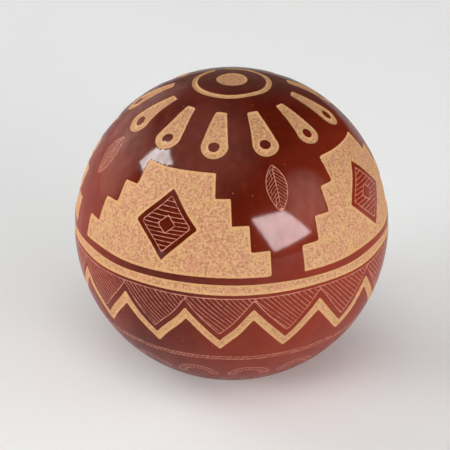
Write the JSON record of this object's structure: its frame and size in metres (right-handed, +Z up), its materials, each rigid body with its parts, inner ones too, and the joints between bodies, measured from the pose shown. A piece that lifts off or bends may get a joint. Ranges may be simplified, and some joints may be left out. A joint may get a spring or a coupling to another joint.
{
  "type": "seed pot",
  "caption": "Round coil-built pottery seed pot, closed all over but for a small seed hole behind its crown, with a burnished red slip coat cut through to the pale clay in a geometric design.",
  "frame": {"origin": "middle of the flat foot, on the table", "axes": "+Z up along the axis of the foot, the coils and the crown; -Y is the front; the seed hole is on the far side, 33 degrees from the top"},
  "size_m": [0.07, 0.07, 0.0682],
  "materials": {
    "clay": "bare low-fired buff clay, matte and finely stippled where the slip is scraped off",
    "slip": "dark red slip burnished to a soft gloss"
  },
  "bodies": {
    "root": {"base_bowl": "clay", "wall_coil_1": "clay", "wall_coil_2": "clay", "wall_coil_3": "clay", "wall_coil_4": "clay", "wall_coil_5": "clay", "wall_coil_6": "clay", "wall_coil_7": "clay", "wall_coil_8": "clay", "wall_coil_9": "clay", "crown": "clay", "slip_coat": "slip"}
  },
  "joints": []
}
